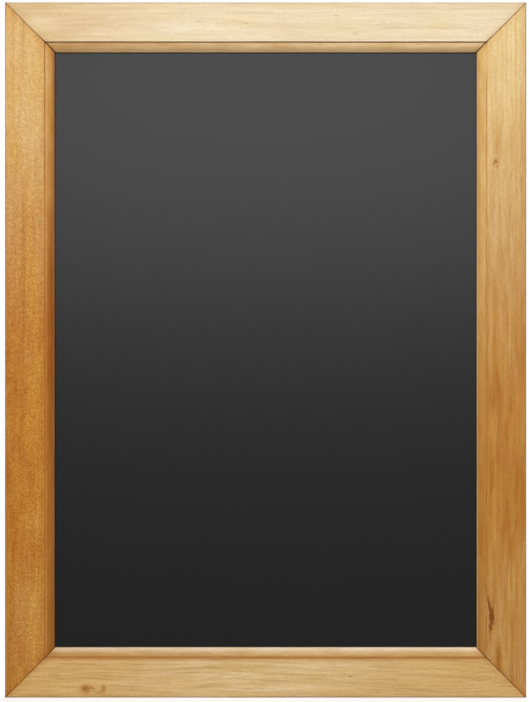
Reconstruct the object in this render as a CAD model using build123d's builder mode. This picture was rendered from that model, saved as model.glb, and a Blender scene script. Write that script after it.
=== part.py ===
from build123d import *

import os
from dataclasses import dataclass
from math import asin, cos, radians, sin

# A wall chalkboard: a painted hardboard panel in a mitred softwood frame, hung from two D-rings.
# X is to the viewer's right, Z is up and the writing face looks along -Y.
# The origin is the middle of the board's box. All sizes are in millimetres.

# Overall outline of the frame
board_width = 600.0
board_height = 800.0

# Moulding section: widths run in from the outer edge, depths run back from the front face
rail_width = 57.0
rail_depth = 20.0
front_edge_radius = 2.5
back_edge_radius = 1.0
bead_width = 11.5
quirk_width = 0.9
quirk_depth = 1.6
bead_start_rise = 8.0
lip_width = 1.2
lip_front_depth = 5.2
lip_thickness = 2.8
rebate_width = 9.0

# Writing panel
panel_thickness = 3.2
panel_clearance = 1.0

# V-shaped steel wedges across each mitre
wedge_places = (15.0, 35.0)
wedge_arm = 6.0
wedge_half_angle = 55.0
wedge_thickness = 0.6
wedge_height = 12.0
wedge_sink = 0.5

# Steel points that hold the panel in its rebate
point_width = 8.0
point_thickness = 0.6
point_shoulder = 3.0
point_bite = 8.0
point_reach = 9.0
points_across = 3
points_up = 4
drive_clearance = 0.05

# Hanger: folded strap, wire D-ring and two pan-head screws
hanger_inset = 24.0
hanger_drop = 160.0
strap_width = 15.0
strap_length = 31.0
strap_thickness = 0.8
strap_layer_gap = 0.1
strap_end_radius = 5.0
fold_angle = 45.0
fold_radius = 1.2
loop_clearance = 0.15
wire_radius = 1.3
wire_sides = 12
ring_half_width = 10.0
ring_corner_radius = 3.0
ring_leg_height = 4.5
ring_butt_gap = 0.2
ring_rest_gap = 0.3
screw_places = (8.0, 24.0)
shank_radius = 1.6
shank_length = 13.0
shank_tip = 3.0
head_radius = 3.2
head_rim = 1.0
head_flat_radius = 2.3
head_height = 2.0
head_cross_length = 3.4
head_cross_width = 0.9
head_cross_depth = 1.1
screw_clearance = 0.2
pilot_clearance = 0.03

# Rubber wall bumpers, which hold the hangers off the wall by the gap
wall_gap = 0.5
bumper_radius = 6.0
bumper_shoulder_radius = 5.4
bumper_face_radius = 4.0
bumper_face_bevel = 1.2
bumper_inset = 80.0
bumper_rise = 24.0

# Height of the ring's bar, and so of its strap's loop and of the bumpers, over the frame's back
hinge_height = strap_thickness + loop_clearance + wire_radius
bumper_height = 2 * hinge_height + wall_gap

# Planes that the pieces share, along Y
front_y = -(rail_depth + bumper_height) / 2
back_y = front_y + rail_depth
ledge_y = front_y + lip_front_depth + lip_thickness
panel_back_y = ledge_y + panel_thickness
toward_wall = Vector(0, 1, 0)

# The hanger's hinge axis and the ring's lean towards the frame when it is at rest
hinge_z = board_height / 2 - hanger_drop
hanger_x = board_width / 2 - hanger_inset
ring_height = ring_leg_height + ring_half_width
ring_lean = asin((hinge_height - wire_radius - ring_rest_gap) / ring_height)
strap_top = 2 * strap_thickness + strap_layer_gap


@dataclass
class Side:
    """One side of the frame: outward points from the board's middle to this side's outer edge."""

    name: str
    outward: Vector
    half_span: float
    half_length: float
    point_count: int

    @property
    def along(self):
        return (-self.outward).cross(toward_wall)


top = Side("top", Vector(0, 0, 1), board_height / 2, board_width / 2, points_across)
bottom = Side("bottom", Vector(0, 0, -1), board_height / 2, board_width / 2, points_across)
left = Side("left", Vector(-1, 0, 0), board_width / 2, board_height / 2, points_up)
right = Side("right", Vector(1, 0, 0), board_width / 2, board_height / 2, points_up)


def moulding_outline():
    """Draws the closed section of the frame moulding, x inwards and y backwards."""
    riser = rail_width - bead_width
    rebate = rail_width - rebate_width
    bead_foot = (riser + quirk_width, quirk_depth)
    lip_edge = (rail_width - lip_width, lip_front_depth)
    ledge = lip_front_depth + lip_thickness
    bead_tangent = (cos(radians(bead_start_rise)), -sin(radians(bead_start_rise)))
    RadiusArc((0, front_edge_radius), (front_edge_radius, 0), front_edge_radius)
    Polyline((front_edge_radius, 0), (riser, 0), (riser, quirk_depth), bead_foot)
    TangentArc(bead_foot, lip_edge, tangent=bead_tangent)
    Polyline(
        lip_edge,
        (rail_width, lip_front_depth),
        (rail_width, ledge),
        (rebate, ledge),
        (rebate, rail_depth),
        (back_edge_radius, rail_depth),
    )
    RadiusArc((back_edge_radius, rail_depth), (0, rail_depth - back_edge_radius), back_edge_radius)
    Line((0, rail_depth - back_edge_radius), (0, front_edge_radius))


def wedge_planes(sign_x, sign_z):
    """Planes on the frame's back, one for each wedge of a corner, with x along the mitre inwards."""
    inward = Vector(-sign_x, 0, -sign_z)
    corner = Vector(sign_x * board_width / 2, back_y, sign_z * board_height / 2)
    return [Plane(corner + inward * place, x_dir=inward, z_dir=toward_wall) for place in wedge_places]


def wedge_centreline():
    """Draws a wedge's V, open towards the outer corner, centred on the mitre."""
    arm_x = wedge_arm * cos(radians(wedge_half_angle))
    arm_y = wedge_arm * sin(radians(wedge_half_angle))
    Polyline((-arm_x, arm_y), (0, 0), (-arm_x, -arm_y))


def point_planes(side):
    """Planes on the panel's back at each point, origin at the rebate wall and x out into the rail."""
    wall = side.outward * (side.half_span - rail_width + rebate_width)
    pitch = 2 * (side.half_length - rail_width) / side.point_count
    middle = (side.point_count - 1) / 2
    steps = [side.along * (pitch * (i - middle)) for i in range(side.point_count)]
    seat = toward_wall * panel_back_y
    return [Plane(wall + step + seat, x_dir=side.outward, z_dir=toward_wall) for step in steps]


def point_outline(clearance):
    """Draws a panel point: a square tail over the panel and a driven end that comes to a tip."""
    half = point_width / 2 + clearance
    tip = point_bite + clearance
    Polyline(
        (-point_reach, -half),
        (point_shoulder, -half),
        (tip, 0),
        (point_shoulder, half),
        (-point_reach, half),
        close=True,
    )


def screw_points(sign_x):
    """Where a hanger's screws enter the back of its stile."""
    return [Vector(sign_x * hanger_x, back_y, hinge_z - place) for place in screw_places]


def frame_rail(name, side, screws=()):
    """One mitred length of moulding, slotted for its wedges and points and drilled for any screws."""
    edge = side.outward * side.half_span
    section = Plane(edge + toward_wall * front_y, x_dir=-side.outward, z_dir=side.along)
    with BuildPart() as rail:
        with BuildSketch(section):
            with BuildLine():
                moulding_outline()
            make_face()
        extrude(amount=side.half_length, both=True)
        for end in (side.along, -side.along):
            corner = edge + end * side.half_length
            split(bisect_by=Plane(corner, z_dir=side.outward - end), keep=Keep.TOP)
            reach = side.outward + end
            with BuildSketch(*wedge_planes(reach.X, reach.Z)):
                with BuildLine():
                    wedge_centreline()
                trace(line_width=wedge_thickness + 2 * drive_clearance)
            extrude(amount=-(wedge_sink + wedge_height), mode=Mode.SUBTRACT)
        with BuildSketch(*point_planes(side)):
            with BuildLine():
                point_outline(drive_clearance)
            make_face()
        extrude(amount=point_thickness + drive_clearance, mode=Mode.SUBTRACT)
        for screw in screws:
            with BuildSketch(Plane(screw, z_dir=toward_wall)):
                Circle(shank_radius + pilot_clearance)
            extrude(amount=-(shank_length - strap_top), mode=Mode.SUBTRACT)
    rail.part.label = name
    export_step(rail.part, f"parts/{name}.step")


def writing_panel():
    """Hardboard panel, painted on its front, loose by the clearance inside the rebate."""
    margin = 2 * (rail_width - rebate_width + panel_clearance)
    with BuildPart() as panel:
        with BuildSketch(Plane((0, ledge_y, 0), x_dir=(1, 0, 0), z_dir=toward_wall)):
            Rectangle(board_width - margin, board_height - margin)
        extrude(amount=panel_thickness)
    panel.part.label = "writing_panel"
    export_step(panel.part, "parts/writing_panel.step")


def corner_wedges(name, sign_x, sign_z):
    """The wedges of one corner, driven just below the frame's back."""
    with BuildPart() as wedges:
        for plane in wedge_planes(sign_x, sign_z):
            with BuildSketch(plane.offset(-wedge_sink)):
                with BuildLine():
                    wedge_centreline()
                trace(line_width=wedge_thickness)
            extrude(amount=-wedge_height)
    wedges.part.label = name
    export_step(wedges.part, f"parts/{name}.step")


def panel_points(name, side):
    """One side's points, lying flat on the panel's back."""
    with BuildPart() as points:
        with BuildSketch(*point_planes(side)):
            with BuildLine():
                point_outline(0)
            make_face()
        extrude(amount=point_thickness)
    points.part.label = name
    export_step(points.part, f"parts/{name}.step")


def hanger_strap(name, sign_x):
    """Steel strip folded round the ring's bar, its two layers flat on the back of the stile."""
    inner_layer = strap_thickness / 2
    outer_layer = inner_layer + strap_thickness + strap_layer_gap
    loop_radius = wire_radius + loop_clearance + strap_thickness / 2
    fold = radians(fold_angle)
    fold_run = hinge_height + loop_radius * cos(fold) - outer_layer - fold_radius * (1 - cos(fold))
    side_view = Plane((sign_x * hanger_x, back_y, hinge_z), x_dir=toward_wall, z_dir=(1, 0, 0))
    with BuildPart() as strap:
        with BuildSketch(side_view):
            with BuildLine():
                inner = Line((inner_layer, -strap_length), (inner_layer, 0))
                loop = JernArc(inner @ 1, inner % 1, loop_radius, -(180 + fold_angle))
                slope = Line(loop @ 1, loop @ 1 + (loop % 1) * (fold_run / sin(fold)))
                bend = JernArc(slope @ 1, slope % 1, fold_radius, fold_angle)
                Line(bend @ 1, (outer_layer, -strap_length))
            trace(line_width=strap_thickness)
        extrude(amount=strap_width / 2, both=True)
        fillet(strap.edges().filter_by(Axis.Y).group_by(Axis.Z)[0], strap_end_radius)
        for screw in screw_points(sign_x):
            with BuildSketch(Plane(screw, z_dir=toward_wall)):
                Circle(shank_radius + screw_clearance)
            extrude(amount=strap_top, mode=Mode.SUBTRACT)
    strap.part.label = name
    export_step(strap.part, f"parts/{name}.step")


def hanger_ring(name, sign_x):
    """Wire bent to a D, its ends butted inside the strap's loop, leaning on the stile at rest."""
    hinge = Vector(sign_x * hanger_x, back_y + hinge_height, hinge_z)
    ring_plane = Plane(hinge, x_dir=(1, 0, 0), z_dir=(0, -cos(ring_lean), -sin(ring_lean)))
    bar_end = ring_half_width - ring_corner_radius
    leg = ring_leg_height - ring_corner_radius
    with BuildPart() as ring:
        with BuildLine(ring_plane) as wire:
            bar = Line((ring_butt_gap / 2, 0), (bar_end, 0))
            corner = JernArc(bar @ 1, bar % 1, ring_corner_radius, 90)
            rise = Line(corner @ 1, corner @ 1 + (corner % 1) * leg)
            bow = JernArc(rise @ 1, rise % 1, ring_half_width, 180)
            fall = Line(bow @ 1, bow @ 1 + (bow % 1) * leg)
            last_corner = JernArc(fall @ 1, fall % 1, ring_corner_radius, 90)
            Line(last_corner @ 1, (-ring_butt_gap / 2, 0))
        with BuildSketch(Plane(wire.line @ 0, z_dir=wire.line % 0)):
            RegularPolygon(wire_radius, wire_sides)
        sweep()
    ring.part.label = name
    export_step(ring.part, f"parts/{name}.step")


def hanger_screws():
    """Pan-head wood screws that hold both straps, with their cross recesses."""
    with BuildPart() as screws:
        for entry in screw_points(-1) + screw_points(1):
            seat = entry + toward_wall * strap_top
            with BuildSketch(Plane(seat)):
                with BuildLine():
                    Polyline(
                        (0, head_height),
                        (head_flat_radius, head_height),
                        (head_radius, head_rim),
                        (head_radius, 0),
                        (shank_radius, 0),
                        (shank_radius, shank_tip - shank_length),
                        (0, -shank_length),
                        close=True,
                    )
                make_face()
            revolve(axis=Axis(seat, toward_wall))
            with BuildSketch(Plane(seat + toward_wall * head_height, z_dir=toward_wall)):
                Rectangle(head_cross_length, head_cross_width)
                Rectangle(head_cross_width, head_cross_length)
            extrude(amount=-head_cross_depth, mode=Mode.SUBTRACT)
    screws.part.label = "hanger_screws"
    export_step(screws.part, "parts/hanger_screws.step")


def wall_bumper(name, sign_x):
    """Tapered rubber stud on the foot of the frame, with a flat face against the wall."""
    foot = Vector(sign_x * (board_width / 2 - bumper_inset), back_y, bumper_rise - board_height / 2)
    with BuildPart() as bumper:
        with BuildSketch(Plane(foot)):
            with BuildLine():
                Polyline(
                    (0, 0),
                    (bumper_radius, 0),
                    (bumper_shoulder_radius, bumper_height - bumper_face_bevel),
                    (bumper_face_radius, bumper_height),
                    (0, bumper_height),
                    close=True,
                )
            make_face()
        revolve(axis=Axis(foot, toward_wall))
    bumper.part.label = name
    export_step(bumper.part, f"parts/{name}.step")


os.makedirs("parts", exist_ok=True)

frame_rail("top_rail", top)
frame_rail("bottom_rail", bottom)
frame_rail("left_stile", left, screw_points(-1))
frame_rail("right_stile", right, screw_points(1))
writing_panel()

for corner_name, sign_x, sign_z in (
    ("top_left", -1, 1),
    ("top_right", 1, 1),
    ("bottom_left", -1, -1),
    ("bottom_right", 1, -1),
):
    corner_wedges(f"{corner_name}_wedges", sign_x, sign_z)

for side in (top, bottom, left, right):
    panel_points(f"{side.name}_panel_points", side)

for hand, sign_x in (("left", -1), ("right", 1)):
    hanger_strap(f"{hand}_hanger_strap", sign_x)
    hanger_ring(f"{hand}_hanger_ring", sign_x)
    wall_bumper(f"{hand}_wall_bumper", sign_x)
hanger_screws()
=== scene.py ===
import math

import bmesh
import bpy
from mathutils import Matrix, Vector


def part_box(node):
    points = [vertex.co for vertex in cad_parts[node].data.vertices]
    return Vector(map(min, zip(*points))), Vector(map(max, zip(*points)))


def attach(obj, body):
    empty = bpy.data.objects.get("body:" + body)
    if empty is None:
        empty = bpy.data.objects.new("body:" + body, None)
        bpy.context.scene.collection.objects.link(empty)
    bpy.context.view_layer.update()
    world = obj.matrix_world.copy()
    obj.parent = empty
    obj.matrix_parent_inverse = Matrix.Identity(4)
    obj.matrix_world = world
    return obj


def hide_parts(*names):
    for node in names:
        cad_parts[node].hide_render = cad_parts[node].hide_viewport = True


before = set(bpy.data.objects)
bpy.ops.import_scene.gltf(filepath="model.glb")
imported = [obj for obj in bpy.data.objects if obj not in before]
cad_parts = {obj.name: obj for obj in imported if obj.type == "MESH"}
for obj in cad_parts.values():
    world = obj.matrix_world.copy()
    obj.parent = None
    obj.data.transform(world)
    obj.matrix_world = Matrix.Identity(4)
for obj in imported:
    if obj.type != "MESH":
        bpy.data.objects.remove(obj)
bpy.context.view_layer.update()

# Frame mouldings: two rails and two stiles of stained, waxed pine, planed to one section with a quirk
# and a bead along the inner edge, mitred at the corners and glued. Each is the section swept along
# its grain and cut to the mitre, then slotted for wedges and points and drilled for hanger screws.

MM = 0.001

rail_low, rail_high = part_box("top_rail")
half_width = rail_high.x
half_height = rail_high.z
front_y = rail_low.y
back_y = rail_high.y
rail_width = rail_high.z - rail_low.z
rail_depth = back_y - front_y

front_arris = 2.5 * MM
back_arris = 1.0 * MM
bead_width = 11.5 * MM
bead_rise = 8.0
quirk_width = 0.9 * MM
quirk_depth = 1.6 * MM
lip_width = 1.2 * MM
lip_front = 5.2 * MM
lip_thickness = 2.8 * MM
rebate_width = 9.0 * MM
eased_edge = 0.25 * MM
sharp_from = math.radians(32)

riser = rail_width - bead_width
rebate = rail_width - rebate_width
ledge = lip_front + lip_thickness


def arc(centre, radius, start, end, steps):
    """Points along an arc, with its angles in degrees."""
    turns = [math.radians(start + (end - start) * i / steps) for i in range(steps + 1)]
    return [(centre[0] + radius * math.cos(t), centre[1] + radius * math.sin(t)) for t in turns]


def moulding_section():
    """The moulding's outline, x in from the outer edge and y back from the face."""
    foot = Vector((riser + quirk_width, quirk_depth))
    lip = Vector((rail_width - lip_width, lip_front))
    to_centre = Vector((math.sin(math.radians(bead_rise)), math.cos(math.radians(bead_rise))))
    chord = lip - foot
    radius = chord.length_squared / (2 * chord.dot(to_centre))
    centre = foot + to_centre * radius
    bead_end = math.degrees(math.atan2(lip.y - centre.y, lip.x - centre.x))
    outline = arc((front_arris, front_arris), front_arris, 180, 270, 8)
    outline += [(riser, 0), (riser, quirk_depth)]
    outline += arc(centre, radius, -90 - bead_rise, bead_end, 28)
    outline += [(rail_width, lip_front), (rail_width, ledge), (rebate, ledge), (rebate, rail_depth)]
    outline += arc((back_arris, rail_depth - back_arris), back_arris, 90, 180, 4)
    return outline


def feed(made, inputs):
    """Gives a node's inputs plain values or other nodes' outputs."""
    for key, value in inputs.items():
        if isinstance(value, bpy.types.NodeSocket):
            made.id_data.links.new(value, made.inputs[key])
        else:
            made.inputs[key].default_value = value


def first_node(tree, kind, **inputs):
    """Adds a node that no other node feeds."""
    made = tree.nodes.new(kind)
    feed(made, inputs)
    return made


def node(kind, inputs, **settings):
    """Adds a node to the tree of the outputs that feed it, with its settings and inputs."""
    fed_by = [value for value in inputs.values() if isinstance(value, bpy.types.NodeSocket)]
    made = fed_by[0].id_data.nodes.new(kind)
    for name, value in settings.items():
        setattr(made, name, value)
    feed(made, inputs)
    return made


def maths(operation, *values):
    """The result of one sum on numbers or outputs."""
    return node("ShaderNodeMath", dict(enumerate(values)), operation=operation).outputs[0]


def plus(first, second):
    """Two numbers or outputs added."""
    return maths("ADD", first, second)


def minus(first, second):
    """The second number or output taken from the first."""
    return maths("SUBTRACT", first, second)


def times(first, second):
    """Two numbers or outputs multiplied."""
    return maths("MULTIPLY", first, second)


def shape_tree(name, inputs):
    """A Geometry Nodes tree with named inputs, and the outputs that carry them."""
    tree = bpy.data.node_groups.new(name, "GeometryNodeTree")
    for label, kind in inputs.items():
        tree.interface.new_socket(label, in_out="INPUT", socket_type=f"NodeSocket{kind}")
    tree.interface.new_socket("Geometry", in_out="OUTPUT", socket_type="NodeSocketGeometry")
    return tree, first_node(tree, "NodeGroupInput").outputs


def end_tree(geometry, material):
    """Ends a tree with real geometry that wears its material."""
    real = node("GeometryNodeRealizeInstances", {"Geometry": geometry})
    dressed = node("GeometryNodeSetMaterial", {"Geometry": real.outputs[0], "Material": material})
    node("NodeGroupOutput", {"Geometry": dressed.outputs[0]})


def new_piece(name, mesh):
    """A piece at the origin that shows a mesh."""
    piece = bpy.data.objects.new(name, mesh)
    bpy.context.scene.collection.objects.link(piece)
    return piece


def settle(piece):
    """Turns a piece and its modifiers into a plain mesh."""
    bpy.context.view_layer.update()
    shown = piece.evaluated_get(bpy.context.evaluated_depsgraph_get())
    mesh = bpy.data.meshes.new_from_object(shown)
    piece.modifiers.clear()
    piece.data = mesh
    mesh.name = piece.name
    return piece


def polish_up(piece):
    """Settles a piece with smooth curves, crisp edges and flats that shade as flats."""
    settle(piece)
    piece.data.shade_smooth()
    piece.data.set_sharp_from_angle(angle=sharp_from)
    flats = piece.modifiers.new("flats", "WEIGHTED_NORMAL")
    flats.keep_sharp = True
    return settle(piece)


def ease_edges(piece, width, steps=2):
    """Rounds a piece's sharp edges a little."""
    easing = piece.modifiers.new("eased edges", "BEVEL")
    easing.width = width
    easing.segments = steps
    easing.limit_method = "ANGLE"
    easing.angle_limit = sharp_from


def cut_away(piece, cutter):
    """Cuts one piece's shape out of another."""
    cut = piece.modifiers.new("cut", "BOOLEAN")
    cut.object = cutter
    cut.solver = "EXACT"


def grow(name, tree, values):
    """Runs a tree with the given inputs and keeps the result as a plain piece."""
    piece = new_piece(name, bpy.data.meshes.new(name))
    nodes = piece.modifiers.new("shape", "NODES")
    nodes.node_group = tree
    for label, value in values.items():
        nodes[tree.interface.items_tree[label].identifier] = value
    return settle(piece)


def drawn_curve(name, points, closed):
    """A curve through plain points, for a tree to sweep."""
    curve = bpy.data.curves.new(name, "CURVE")
    curve.dimensions = "3D"
    spline = curve.splines.new("POLY")
    spline.points.add(len(points) - 1)
    for corner, point in zip(spline.points, points):
        corner.co = (*Vector(point).to_3d(), 1)
    spline.use_cyclic_u = closed
    holder = bpy.data.objects.new(name, curve)
    bpy.context.scene.collection.objects.link(holder)
    return holder


def sweep(path, section):
    """A section swept along a path, with closed ends."""
    curves = {"Curve": path, "Profile Curve": section, "Fill Caps": True}
    return node("GeometryNodeCurveToMesh", curves).outputs[0]


def moulding_tree():
    """Sweeps a section along Z and draws both ends in to a 45-degree mitre."""
    inputs = {"Section": "Object", "Half Length": "Float", "Wood": "Material"}
    tree, given = shape_tree("mitred_moulding", inputs)
    half_length = given["Half Length"]
    low = node("ShaderNodeCombineXYZ", {"Z": times(half_length, -1.0)}).outputs[0]
    high = node("ShaderNodeCombineXYZ", {"Z": half_length}).outputs[0]
    grain = node("GeometryNodeCurvePrimitiveLine", {"Start": low, "End": high}).outputs[0]
    section = node("GeometryNodeObjectInfo", {"Object": given["Section"]}).outputs["Geometry"]
    square_ended = sweep(grain, section)
    place = first_node(tree, "GeometryNodeInputPosition").outputs[0]
    across, depth, along = node("ShaderNodeSeparateXYZ", {0: place}).outputs
    kept = minus(1.0, maths("DIVIDE", across, half_length))
    drawn_in = {"X": across, "Y": depth, "Z": times(along, kept)}
    mitred_place = node("ShaderNodeCombineXYZ", drawn_in).outputs[0]
    moved = {"Geometry": square_ended, "Position": mitred_place}
    mitred = node("GeometryNodeSetPosition", moved).outputs[0]
    end_tree(mitred, given["Wood"])
    return tree


def add_prism(bench, outline, origin, x_axis, z_axis, depth):
    """Adds a closed prism: an outline on a plane, raised along the plane's Z."""
    x_axis = Vector(x_axis).normalized()
    z_axis = Vector(z_axis)
    y_axis = z_axis.cross(x_axis)
    flat = [Vector(origin) + x_axis * x + y_axis * y for x, y in outline]
    foot = [bench.verts.new(point) for point in flat]
    head = [bench.verts.new(point + z_axis * depth) for point in flat]
    bench.faces.new(list(reversed(foot)))
    bench.faces.new(head)
    for i in range(len(outline)):
        j = (i + 1) % len(outline)
        bench.faces.new((foot[i], foot[j], head[j], head[i]))


def bench_mesh(bench, name):
    """Takes a finished shape off the bench as a mesh."""
    mesh = bpy.data.meshes.new(name)
    bench.to_mesh(mesh)
    bench.free()
    return mesh


wedge_places = (15.0 * MM, 35.0 * MM)
wedge_arm = 6.0 * MM
wedge_half_angle = math.radians(55)
wedge_thickness = 0.6 * MM
wedge_slot_depth = 12.5 * MM
point_width = 8.0 * MM
point_thickness = 0.6 * MM
point_shoulder = 3.0 * MM
point_bite = 8.0 * MM
drive_clearance = 0.05 * MM
panel_back = ledge + 3.2 * MM
hanger_inset = 24.0 * MM
hinge_z = half_height - 160.0 * MM
screw_places = (8.0 * MM, 24.0 * MM)
pilot_radius = 1.63 * MM
pilot_depth = 11.3 * MM
pilot_sides = 24
overshoot = 0.5 * MM


def wedge_slot():
    """Outline of a V slot that opens towards the frame's outer corner."""
    half = wedge_thickness / 2 + drive_clearance
    tip = half / math.sin(wedge_half_angle)
    arm = Vector((-math.cos(wedge_half_angle), math.sin(wedge_half_angle)))
    side = Vector((arm.y, -arm.x)) * half
    outer = arm * wedge_arm + side
    inner = arm * wedge_arm - side
    return [(tip, 0), tuple(outer), tuple(inner), (-tip, 0), (inner.x, -inner.y), (outer.x, -outer.y)]


def point_slot():
    """Outline of a panel point's driven end, with a little room."""
    half = point_width / 2 + drive_clearance
    tip = point_bite + drive_clearance
    lower_side = [(-overshoot, -half), (point_shoulder, -half)]
    upper_side = [(point_shoulder, half), (-overshoot, half)]
    return lower_side + [(tip, 0)] + upper_side


def joinery_cuts(half_length, point_count, pilots):
    """One piece of all that is cut from a moulding, where the moulding runs along Z."""
    bench = bmesh.new()
    into_back = Vector((0, -1, 0))
    for end in (-1, 1):
        along_mitre = (1, 0, -end)
        for place in wedge_places:
            origin = (place, rail_depth + overshoot, end * (half_length - place))
            add_prism(bench, wedge_slot(), origin, along_mitre, into_back, wedge_slot_depth + overshoot)
    pitch = 2 * (half_length - rail_width) / point_count
    for i in range(point_count):
        origin = (rebate, panel_back, pitch * (i - (point_count - 1) / 2))
        add_prism(bench, point_slot(), origin, (-1, 0, 0), (0, 1, 0), point_thickness + drive_clearance)
    rim = arc((0, 0), pilot_radius, 0, 360 - 360 / pilot_sides, pilot_sides - 1)
    for pilot in pilots:
        origin = (hanger_inset, rail_depth + overshoot, pilot)
        add_prism(bench, rim, origin, (1, 0, 0), into_back, pilot_depth + overshoot)
    bmesh.ops.recalc_face_normals(bench, faces=bench.faces)
    return new_piece("joinery_cuts", bench_mesh(bench, "joinery_cuts"))


def step(value, low, high):
    """Rises smoothly from 0 at low to 1 at high; low may be the larger."""
    limits = {"Value": value, "From Min": low, "From Max": high}
    return node("ShaderNodeMapRange", limits, interpolation_type="SMOOTHSTEP").outputs[0]


def mix(share, first, second, how="MIX"):
    """Two colours mixed by a share from 0 to 1."""
    colours = {0: share, 6: first, 7: second}
    return node("ShaderNodeMix", colours, data_type="RGBA", blend_type=how).outputs[2]


def place_maths(operation, first, second):
    """The result of one sum on two places or directions."""
    return node("ShaderNodeVectorMath", {0: first, 1: second}, operation=operation).outputs[0]


def cloud(place, sizes, detail=2.0, rough=0.5, twist=0.0):
    """Noise whose blobs have the given sizes along X, Y and Z; returns its value and its colour."""
    spot = place_maths("MULTIPLY", place, tuple(1 / size for size in sizes))
    fractal = {"Detail": detail, "Roughness": rough, "Distortion": twist}
    return node("ShaderNodeTexNoise", {"Vector": spot, "Scale": 1.0, **fractal}).outputs


def shade(red, green, blue):
    """A colour as it looks, 0 to 255, in the linear values that a shader takes."""
    parts = [c / 255 for c in (red, green, blue)]
    return (*[p / 12.92 if p <= 0.04045 else ((p + 0.055) / 1.055) ** 2.4 for p in parts], 1.0)


def new_material(name):
    """A material, its shader and the place on the object that its patterns follow."""
    material = bpy.data.materials.new(name)
    material.use_nodes = True
    tree = material.node_tree
    spot = first_node(tree, "ShaderNodeTexCoord").outputs["Object"]
    return material, tree.nodes["Principled BSDF"], spot


def relief(height, strength, depth):
    """Fine bumps for a shader, from a height and the depth that it stands for."""
    bumps = {"Height": height, "Strength": strength, "Distance": depth}
    return node("ShaderNodeBump", bumps).outputs[0]


def sum_of_squares(first, second):
    """The squares of two numbers or outputs, added."""
    return plus(times(first, first), times(second, second))


swing_of_red_green_blue = (0.57, 1.0, 2.0)


def vary(colour, noise, strength):
    """Lightens and darkens a colour by a noise about its middle, warmer where it is darker."""
    swing = times(minus(noise, 0.5), strength)
    levels = [plus(1.0, times(swing, share)) for share in swing_of_red_green_blue]
    red, green, blue = (maths("MAXIMUM", level, 0.0) for level in levels)
    tint = node("ShaderNodeCombineColor", {0: red, 1: green, 2: blue}).outputs[0]
    return mix(1.0, colour, tint, "MULTIPLY")


def wandering_grain(place, wander):
    """Moves a place in the log a little sideways, as the trunk swayed while it grew."""
    sway = cloud(place, (70, 70, 300), 2.0)[1]
    centred = place_maths("SUBTRACT", sway, (0.5, 0.5, 0.5))
    bend = place_maths("MULTIPLY", centred, (wander, wander, 0))
    return place_maths("ADD", place, bend)


def knot(along, across, length, width, dark, halo, push, lean=0.0):
    """A knot, or a warm cloud where dark is 0: its middle and its half sizes, in millimetres."""
    place = dict(along=along, across=across, length=length, width=width, lean=lean)
    return dict(place, dark=dark, halo=halo, push=push)


heart_edge = (1.25, 0.6)
halo_edge = (3.0, 0.8)
edge_tear = 2.2
push_fall = -0.16


def knot_marks(across, along, ragged, knots):
    """How far each spot is a knot's dark heart or its warm halo, and how far knots push the rings."""
    heart = 0.0
    halo = 0.0
    push = 0.0
    for mark in knots:
        off_along = minus(along, mark["along"])
        leaning = times(off_along, mark["lean"])
        off_across = minus(minus(across, mark["across"]), leaning)
        reach_along = maths("DIVIDE", off_along, mark["length"])
        reach_across = maths("DIVIDE", off_across, mark["width"])
        square = sum_of_squares(reach_along, reach_across)
        away = maths("SQRT", square)
        torn = plus(away, times(minus(ragged, 0.5), edge_tear))
        in_heart = times(step(torn, *heart_edge), mark["dark"])
        heart = maths("MAXIMUM", heart, in_heart)
        in_halo = times(step(away, *halo_edge), mark["halo"])
        halo = maths("MAXIMUM", halo, in_halo)
        swell = maths("EXPONENT", times(square, push_fall))
        push = plus(push, times(swell, mark["push"]))
    return heart, halo, push


def between(share, ends):
    """A number that goes from the first of two ends to the second as a share goes from 0 to 1."""
    return plus(ends[0], times(share, ends[1] - ends[0]))


late_growth = (0.3, 0.88)
winter_stop = (1.0, 0.9)
weakest_year = 0.3


def late_wood(grain, push, wood):
    """Thin dark lines round the pith where each year's growth ended, in some years stronger."""
    parts = node("ShaderNodeSeparateXYZ", {0: grain}).outputs
    pith = [wood["log_place"][axis] + wood["pith"][axis] for axis in (0, 1)]
    off_pith = [minus(parts[axis], pith[axis]) for axis in (0, 1)]
    radius = maths("SQRT", sum_of_squares(*off_pith))
    years = maths("DIVIDE", plus(radius, push), wood["ring_pitch"])
    season = maths("FRACT", years)
    line = times(step(season, *late_growth), step(season, *winter_stop))
    year = maths("FLOOR", years)
    vigour = node("ShaderNodeTexWhiteNoise", {"W": year}, noise_dimensions="1D").outputs[0]
    return times(line, between(vigour, (weakest_year, 1.0)))


def stain(share, colour, tone):
    """Lays a see-through tone over a colour."""
    return mix(share, colour, tone, "MULTIPLY")


def curl_marks(across, along, curls):
    """How far each spot lies in a curl, where the fibres wave and shine across the grain."""
    shown = 0.0
    for mark_along, mark_across, length, width in curls:
        off_along = maths("DIVIDE", minus(along, mark_along), length)
        off_across = maths("DIVIDE", minus(across, mark_across), width)
        square = sum_of_squares(off_along, off_across)
        shown = plus(shown, maths("EXPONENT", times(square, -1.0)))
    return shown


knot_heart = (0.44, 0.25, 0.12, 1)
knot_halo = (0.84, 0.66, 0.46, 1)
curl_shine = shade(214, 162, 84)
mitre_stain = (0.41, 0.26, 0.11, 1)
bead_mitre_stain = (0.24, 0.12, 0.03, 1)
# stain and painted shade beside the quirk
quirk_stain_and_shade = (0.74, 0.42, 0.14, 1)
end_stain = (0.88, 0.76, 0.62, 1)
arris_wear = shade(136, 122, 106)
# painted shadow: the dark line where the lip's inner wall meets the panel
sight_edge_painted_shadow = (0.20, 0.15, 0.11, 1)
raw_pine = shade(226, 198, 152)
raw_late = shade(196, 148, 90)
# how much of the lip's painted highlight and shade shows, from the pale end to the deep end
lip_light_and_shade_ends = (0.85, 0.6)
wax_roughness = 0.42
wax_unevenness = 0.16
wax_shine = 0.09
bare_roughness = 0.3

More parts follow.
